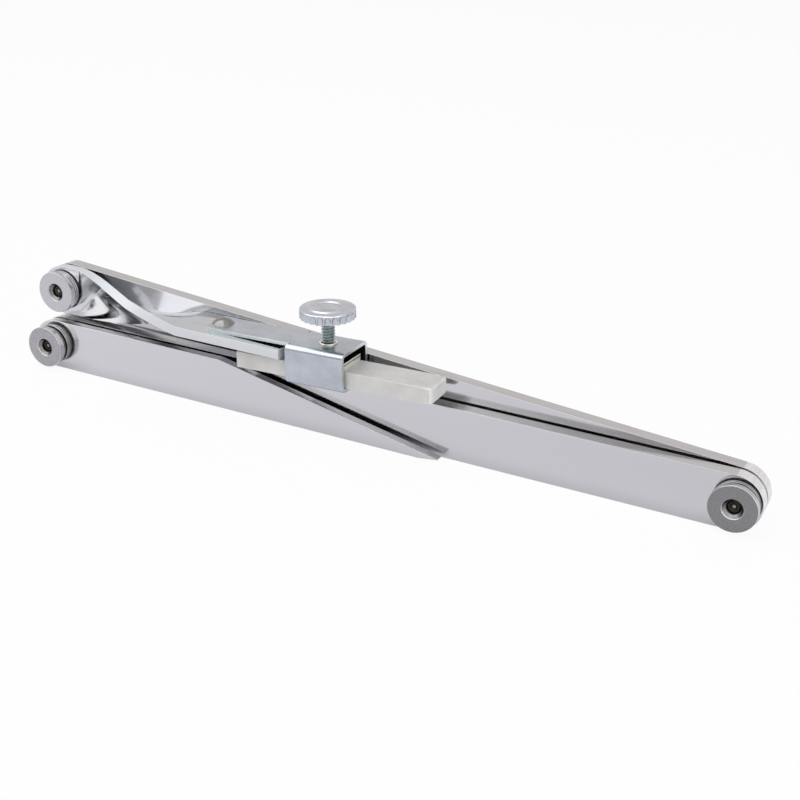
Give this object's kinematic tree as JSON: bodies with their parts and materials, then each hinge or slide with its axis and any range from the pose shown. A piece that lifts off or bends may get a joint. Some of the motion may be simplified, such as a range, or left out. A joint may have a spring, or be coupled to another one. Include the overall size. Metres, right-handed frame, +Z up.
{
  "type": "radius marker",
  "caption": "Folding radius marker: two flat metal bars hinged at one end, with a pivoting pointed arm and a pivoting twisted arm whose screw clamp holds a flat soapstone stick.",
  "frame": {"origin": "centre of the front bar's lower edge, on which the tool rests", "axes": "+X along the front bar toward the fold pivot, +Y from the disc nuts toward the screw heads, +Z up from the resting edge toward the thumbscrew"},
  "size_m": [0.283, 0.0272, 0.048],
  "materials": {
    "satin_bar": "satin, fine lengthwise grain",
    "bright_arm": "bright, softly polished",
    "zinc_plate": "bluish zinc plate",
    "zinc_screw": "bright zinc plate",
    "rivet_steel": "smooth",
    "screw_steel": "plain",
    "washer_steel": "smooth",
    "spring_steel": "plain",
    "disc_steel": "finely turned",
    "soapstone": "matt, faintly mottled stone"
  },
  "bodies": {
    "front_bar": {"front_bar": "satin_bar", "fold_screw": "screw_steel", "fold_spacer": "washer_steel", "fold_flat_washer": "washer_steel", "fold_spring_washer": "spring_steel", "fold_disc_nut": "disc_steel", "pointer_screw": "screw_steel", "pointer_spacer": "washer_steel", "pointer_flat_washer": "washer_steel", "pointer_spring_washer": "spring_steel", "pointer_disc_nut": "disc_steel"},
    "rear_bar": {"rear_bar": "satin_bar", "holder_screw": "screw_steel", "holder_spacer": "washer_steel", "holder_flat_washer": "washer_steel", "holder_spring_washer": "spring_steel", "holder_disc_nut": "disc_steel"},
    "pointer_arm": {"pointer_arm": "satin_bar"},
    "holder_arm": {"holder_arm": "bright_arm", "clamp_saddle": "zinc_plate", "clamp_rivet": "rivet_steel", "clamp_bush": "zinc_screw"},
    "pressure_plate": {"pressure_plate": "zinc_plate"},
    "thumbscrew": {"thumbscrew_screw": "zinc_screw", "thumbscrew_knob": "zinc_screw"},
    "soapstone": {"soapstone": "soapstone"}
  },
  "joints": [
    {"name": "fold_hinge", "type": "hinge", "parent": "front_bar", "child": "rear_bar", "pos_m": [0.133, 0, 0.00953], "axis": [0, 1, 0], "range_deg": [0, 180]},
    {"name": "pointer_hinge", "type": "hinge", "parent": "front_bar", "child": "pointer_arm", "pos_m": [-0.133, 0, 0.00953], "axis": [0, 1, 0], "range_deg": [0, 180]},
    {"name": "holder_hinge", "type": "hinge", "parent": "rear_bar", "child": "holder_arm", "pos_m": [-0.13223, 0, 0.02977], "axis": [0, -1, 0], "range_deg": [0, 165]},
    {"name": "plate_slide", "type": "slide", "parent": "holder_arm", "child": "pressure_plate", "axis": [-0.0332, 0, 0.9995], "range_m": [0, 0.0015]},
    {"name": "thumbscrew_turn", "type": "hinge", "parent": "pressure_plate", "child": "thumbscrew", "pos_m": [-0.01024, -0.00615, 0.03451], "axis": [-0.0332, 0, 0.9995], "range_deg": [0, 511]},
    {"name": "soapstone_slide", "type": "slide", "parent": "holder_arm", "child": "soapstone", "axis": [0.9995, 0, 0.0332], "range_m": [-0.01, 0.03]}
  ],
  "couplings": [
    {"joint": "thumbscrew_turn", "follows": "plate_slide", "rad_per_m": 5938.7}
  ]
}
